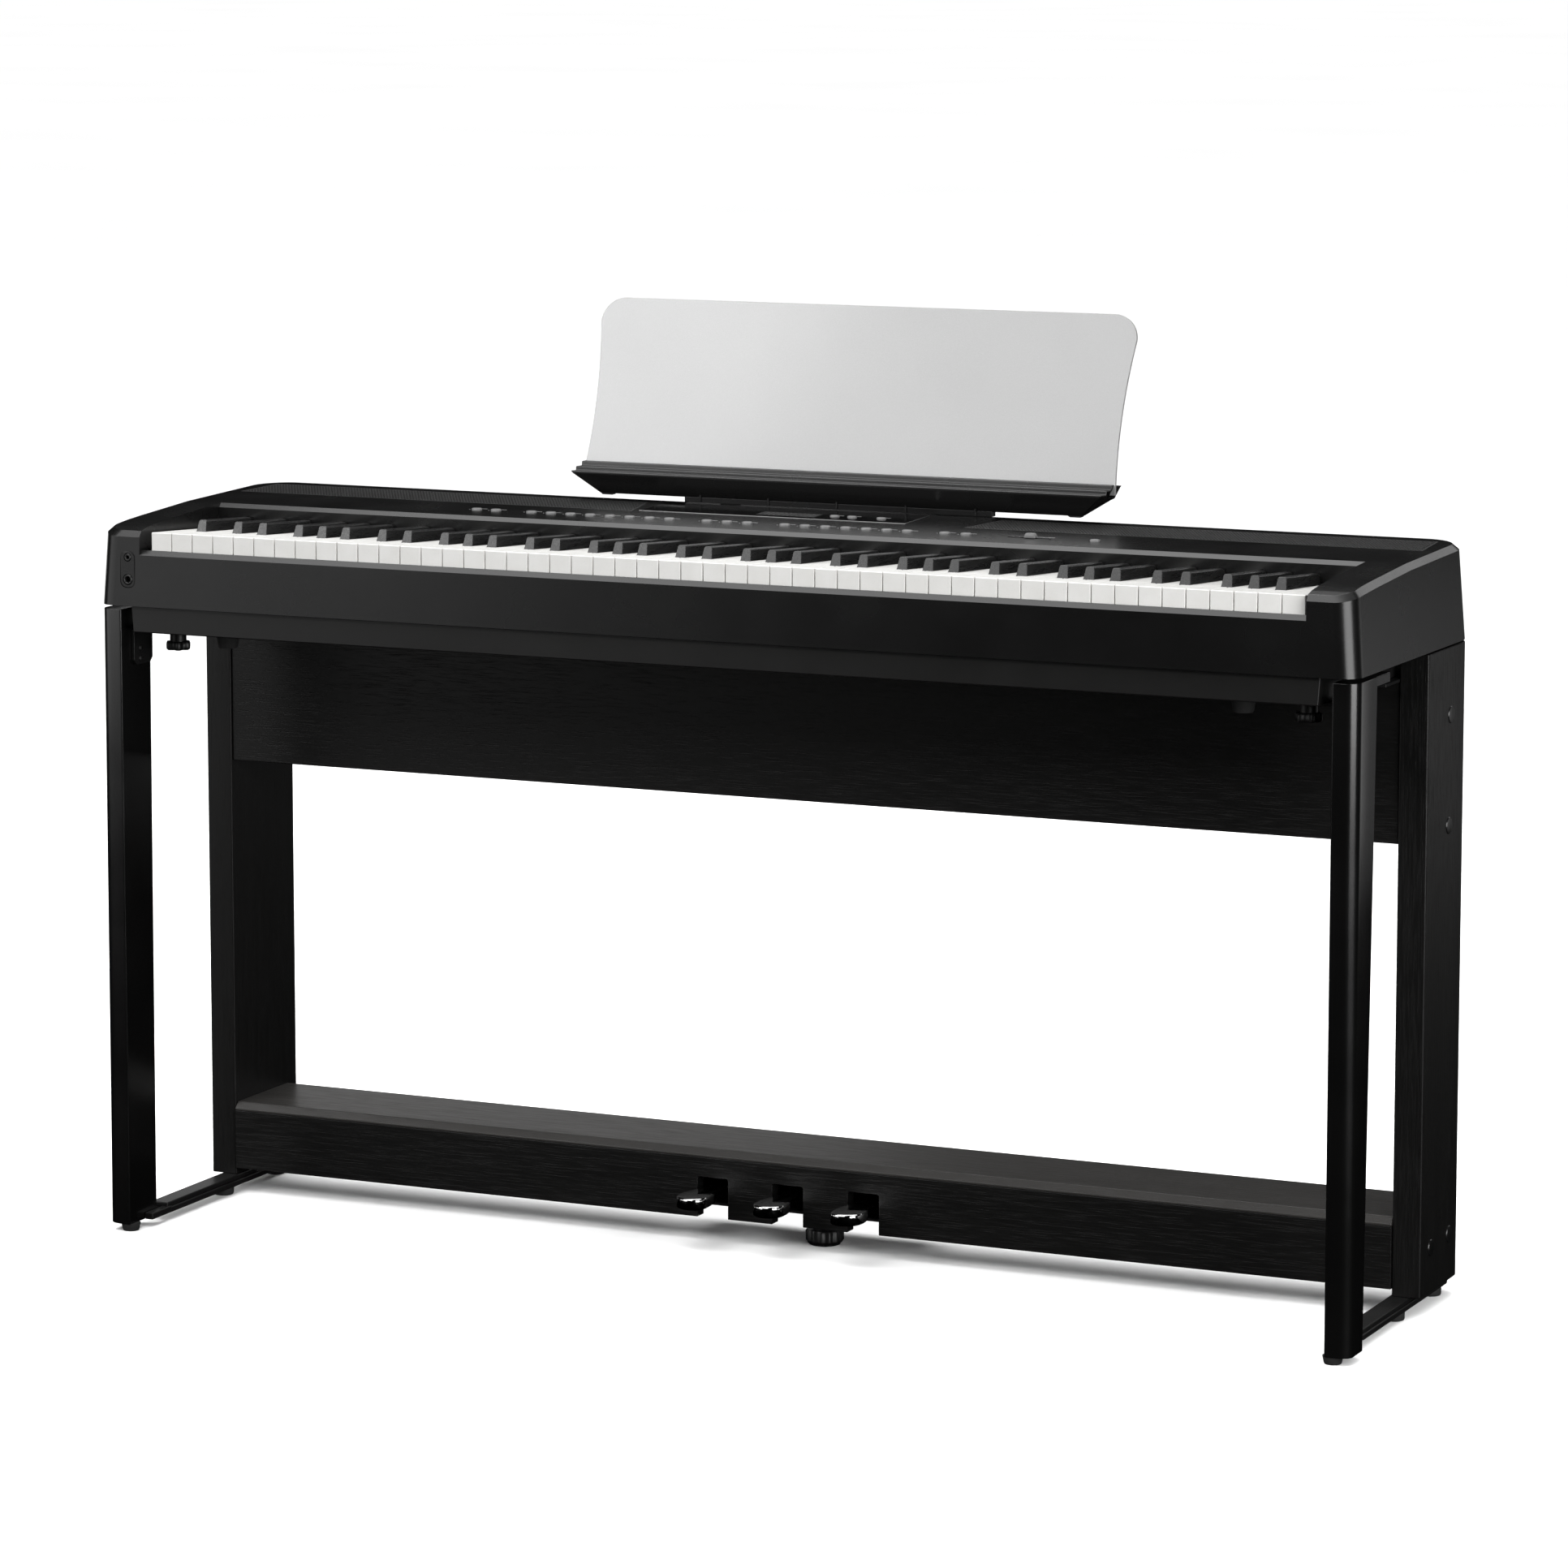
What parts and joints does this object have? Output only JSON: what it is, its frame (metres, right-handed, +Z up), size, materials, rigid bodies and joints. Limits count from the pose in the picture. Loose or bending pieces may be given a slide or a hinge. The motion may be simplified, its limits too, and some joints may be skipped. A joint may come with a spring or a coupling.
{
  "type": "digital piano on stand",
  "caption": "Slab digital piano with full-size keys, speakers and panel buttons, a lift-off music rest, and a stand with a back board and a pedal shelf.",
  "frame": {"origin": "on the floor, at the centre of the outline of the whole object", "axes": "+X towards the player's right along the keyboard, +Y away from the player, +Z up"},
  "size_m": [1.338, 0.4064, 0.9403],
  "materials": {
    "case_black": "satin black moulded case, fine texture",
    "lower_black": "matt black lower case",
    "jack_black": "gloss black socket plate",
    "connector_steel": "black painted socket plate",
    "grille_steel": "perforated black painted steel",
    "display_gloss": "gloss black window",
    "speaker_paper": "pressed paper cone",
    "frame_steel": "black painted steel",
    "circuit_board": "green circuit board",
    "white_keys": "smooth ivory white, satin top",
    "black_keys": "matt ebony black",
    "button_grey": "light grey moulded",
    "frosted_sheet": "frosted translucent sheet",
    "leg_black": "black painted board",
    "wood_black": "black foil on board with a fine straight grain",
    "stand_steel": "black powder coat",
    "foot_rubber": "black rubber",
    "knob_black": "black moulded grip",
    "pedal_chrome": "polished"
  },
  "bodies": {
    "stand_and_case": {"upper_case": "case_black", "lower_case": "lower_black", "jack_panel": "jack_black", "connector_panel": "connector_steel", "speaker_grille_right": "grille_steel", "speaker_grille_left": "grille_steel", "display_window": "display_gloss", "speaker_right": "speaker_paper", "speaker_left": "speaker_paper", "key_frame": "frame_steel", "main_board": "circuit_board", "front_leg_right": "leg_black", "front_leg_left": "leg_black", "rear_post_right": "wood_black", "rear_post_left": "wood_black", "floor_bar_right": "stand_steel", "floor_bar_left": "stand_steel", "front_bracket_right": "stand_steel", "front_bracket_left": "stand_steel", "rear_bracket_right": "stand_steel", "rear_bracket_left": "stand_steel", "leg_glide_right": "foot_rubber", "leg_glide_left": "foot_rubber", "rear_foot_right": "foot_rubber", "rear_foot_left": "foot_rubber", "back_board": "wood_black", "pedal_shelf": "wood_black", "kick_board": "wood_black", "pedal_housing": "stand_steel", "pedal_shaft": "frame_steel"},
    "music_rest": {"music_rest_base": "case_black", "music_rest_sheet": "frosted_sheet"},
    "white_keys_low": {"white_keys_low": "white_keys"},
    "black_keys_low": {"black_keys_low": "black_keys"},
    "key_c4": {"key_c4": "white_keys"},
    "key_c4_sharp": {"key_c4_sharp": "black_keys"},
    "key_d4": {"key_d4": "white_keys"},
    "key_d4_sharp": {"key_d4_sharp": "black_keys"},
    "key_e4": {"key_e4": "white_keys"},
    "key_f4": {"key_f4": "white_keys"},
    "key_f4_sharp": {"key_f4_sharp": "black_keys"},
    "key_g4": {"key_g4": "white_keys"},
    "white_keys_high": {"white_keys_high": "white_keys"},
    "black_keys_high": {"black_keys_high": "black_keys"},
    "buttons_recorder": {"buttons_recorder": "button_grey"},
    "buttons_voices": {"buttons_voices": "button_grey"},
    "buttons_functions": {"buttons_functions": "button_grey"},
    "buttons_rhythm": {"buttons_rhythm": "button_grey"},
    "buttons_tempo": {"buttons_tempo": "button_grey"},
    "buttons_display": {"buttons_display": "button_grey"},
    "power_button": {"power_button": "button_grey"},
    "volume_slider": {"volume_slider": "button_grey"},
    "knob_bolt_front_left": {"knob_bolt_front_left": "knob_black"},
    "knob_bolt_front_right": {"knob_bolt_front_right": "knob_black"},
    "knob_bolt_rear_left": {"knob_bolt_rear_left": "knob_black"},
    "knob_bolt_rear_right": {"knob_bolt_rear_right": "knob_black"},
    "pedal_soft": {"pedal_soft": "pedal_chrome"},
    "pedal_sostenuto": {"pedal_sostenuto": "pedal_chrome"},
    "pedal_damper": {"pedal_damper": "pedal_chrome"},
    "adjuster_foot": {"adjuster_foot": "knob_black"}
  },
  "joints": [
    {"name": "music_rest_lift", "type": "slide", "parent": "stand_and_case", "child": "music_rest", "axis": [0, 0, 1], "range_m": [0, 0.06]},
    {"name": "white_keys_low_hinge", "type": "hinge", "parent": "stand_and_case", "child": "white_keys_low", "pos_m": [0, 0.02077, 0.705], "axis": [1, 0, 0], "range_deg": [0, 2.6], "stiffness_Nm_per_rad": 40, "springref_deg": -5.73},
    {"name": "black_keys_low_hinge", "type": "hinge", "parent": "stand_and_case", "child": "black_keys_low", "pos_m": [0, 0.02077, 0.705], "axis": [1, 0, 0], "range_deg": [0, 2.6], "stiffness_Nm_per_rad": 12, "springref_deg": -5.73},
    {"name": "key_c4_hinge", "type": "hinge", "parent": "stand_and_case", "child": "key_c4", "pos_m": [0, 0.02077, 0.705], "axis": [1, 0, 0], "range_deg": [0, 2.6], "stiffness_Nm_per_rad": 1.8, "springref_deg": -5.73},
    {"name": "key_c4_sharp_hinge", "type": "hinge", "parent": "stand_and_case", "child": "key_c4_sharp", "pos_m": [0, 0.02077, 0.705], "axis": [1, 0, 0], "range_deg": [0, 2.6], "stiffness_Nm_per_rad": 0.8, "springref_deg": -5.73},
    {"name": "key_d4_hinge", "type": "hinge", "parent": "stand_and_case", "child": "key_d4", "pos_m": [0, 0.02077, 0.705], "axis": [1, 0, 0], "range_deg": [0, 2.6], "stiffness_Nm_per_rad": 1.8, "springref_deg": -5.73},
    {"name": "key_d4_sharp_hinge", "type": "hinge", "parent": "stand_and_case", "child": "key_d4_sharp", "pos_m": [0, 0.02077, 0.705], "axis": [1, 0, 0], "range_deg": [0, 2.6], "stiffness_Nm_per_rad": 0.8, "springref_deg": -5.73},
    {"name": "key_e4_hinge", "type": "hinge", "parent": "stand_and_case", "child": "key_e4", "pos_m": [0, 0.02077, 0.705], "axis": [1, 0, 0], "range_deg": [0, 2.6], "stiffness_Nm_per_rad": 1.8, "springref_deg": -5.73},
    {"name": "key_f4_hinge", "type": "hinge", "parent": "stand_and_case", "child": "key_f4", "pos_m": [0, 0.02077, 0.705], "axis": [1, 0, 0], "range_deg": [0, 2.6], "stiffness_Nm_per_rad": 1.8, "springref_deg": -5.73},
    {"name": "key_f4_sharp_hinge", "type": "hinge", "parent": "stand_and_case", "child": "key_f4_sharp", "pos_m": [0, 0.02077, 0.705], "axis": [1, 0, 0], "range_deg": [0, 2.6], "stiffness_Nm_per_rad": 0.8, "springref_deg": -5.73},
    {"name": "key_g4_hinge", "type": "hinge", "parent": "stand_and_case", "child": "key_g4", "pos_m": [0, 0.02077, 0.705], "axis": [1, 0, 0], "range_deg": [0, 2.6], "stiffness_Nm_per_rad": 1.8, "springref_deg": -5.73},
    {"name": "white_keys_high_hinge", "type": "hinge", "parent": "stand_and_case", "child": "white_keys_high", "pos_m": [0, 0.02077, 0.705], "axis": [1, 0, 0], "range_deg": [0, 2.6], "stiffness_Nm_per_rad": 40, "springref_deg": -5.73},
    {"name": "black_keys_high_hinge", "type": "hinge", "parent": "stand_and_case", "child": "black_keys_high", "pos_m": [0, 0.02077, 0.705], "axis": [1, 0, 0], "range_deg": [0, 2.6], "stiffness_Nm_per_rad": 12, "springref_deg": -5.73},
    {"name": "buttons_recorder_press", "type": "slide", "parent": "stand_and_case", "child": "buttons_recorder", "axis": [0, 0.026, -0.9997], "range_m": [0, 0.0008], "stiffness_N_per_m": 1500, "springref_m": -0.001},
    {"name": "buttons_voices_press", "type": "slide", "parent": "stand_and_case", "child": "buttons_voices", "axis": [0, 0.026, -0.9997], "range_m": [0, 0.0008], "stiffness_N_per_m": 1500, "springref_m": -0.001},
    {"name": "buttons_functions_press", "type": "slide", "parent": "stand_and_case", "child": "buttons_functions", "axis": [0, 0.026, -0.9997], "range_m": [0, 0.0008], "stiffness_N_per_m": 1500, "springref_m": -0.001},
    {"name": "buttons_rhythm_press", "type": "slide", "parent": "stand_and_case", "child": "buttons_rhythm", "axis": [0, 0.026, -0.9997], "range_m": [0, 0.0008], "stiffness_N_per_m": 1500, "springref_m": -0.001},
    {"name": "buttons_tempo_press", "type": "slide", "parent": "stand_and_case", "child": "buttons_tempo", "axis": [0, 0.026, -0.9997], "range_m": [0, 0.0008], "stiffness_N_per_m": 1500, "springref_m": -0.001},
    {"name": "buttons_display_press", "type": "slide", "parent": "stand_and_case", "child": "buttons_display", "axis": [0, 0.026, -0.9997], "range_m": [0, 0.0008], "stiffness_N_per_m": 1500, "springref_m": -0.001},
    {"name": "power_button_press", "type": "slide", "parent": "stand_and_case", "child": "power_button", "axis": [0, 0.026, -0.9997], "range_m": [0, 0.0008], "stiffness_N_per_m": 1500, "springref_m": -0.001},
    {"name": "volume_slide", "type": "slide", "parent": "stand_and_case", "child": "volume_slider", "axis": [1, 0, 0], "range_m": [-0.019, 0.017]},
    {"name": "knob_bolt_front_left_turn", "type": "hinge", "parent": "stand_and_case", "child": "knob_bolt_front_left", "pos_m": [-0.605, -0.15122, 0.6], "axis": [0, 0, 1], "continuous": true},
    {"name": "knob_bolt_front_right_turn", "type": "hinge", "parent": "stand_and_case", "child": "knob_bolt_front_right", "pos_m": [0.605, -0.15122, 0.6], "axis": [0, 0, 1], "continuous": true},
    {"name": "knob_bolt_rear_left_turn", "type": "hinge", "parent": "stand_and_case", "child": "knob_bolt_rear_left", "pos_m": [-0.605, -0.01222, 0.6], "axis": [0, 0, 1], "continuous": true},
    {"name": "knob_bolt_rear_right_turn", "type": "hinge", "parent": "stand_and_case", "child": "knob_bolt_rear_right", "pos_m": [0.605, -0.01222, 0.6], "axis": [0, 0, 1], "continuous": true},
    {"name": "pedal_soft_hinge", "type": "hinge", "parent": "stand_and_case", "child": "pedal_soft", "pos_m": [-0.0833, 0.10178, 0.06], "axis": [1, 0, 0], "range_deg": [0, 5.5], "stiffness_Nm_per_rad": 6, "springref_deg": -8.59},
    {"name": "pedal_sostenuto_hinge", "type": "hinge", "parent": "stand_and_case", "child": "pedal_sostenuto", "pos_m": [0, 0.10178, 0.06], "axis": [1, 0, 0], "range_deg": [0, 5.5], "stiffness_Nm_per_rad": 6, "springref_deg": -8.59},
    {"name": "pedal_damper_hinge", "type": "hinge", "parent": "stand_and_case", "child": "pedal_damper", "pos_m": [0.0833, 0.10178, 0.06], "axis": [1, 0, 0], "range_deg": [0, 5.5], "stiffness_Nm_per_rad": 6, "springref_deg": -8.59},
    {"name": "adjuster_turn", "type": "hinge", "parent": "stand_and_case", "child": "adjuster_foot", "pos_m": [0.0206, 0.05378, 0], "axis": [0, 0, 1], "continuous": true}
  ]
}
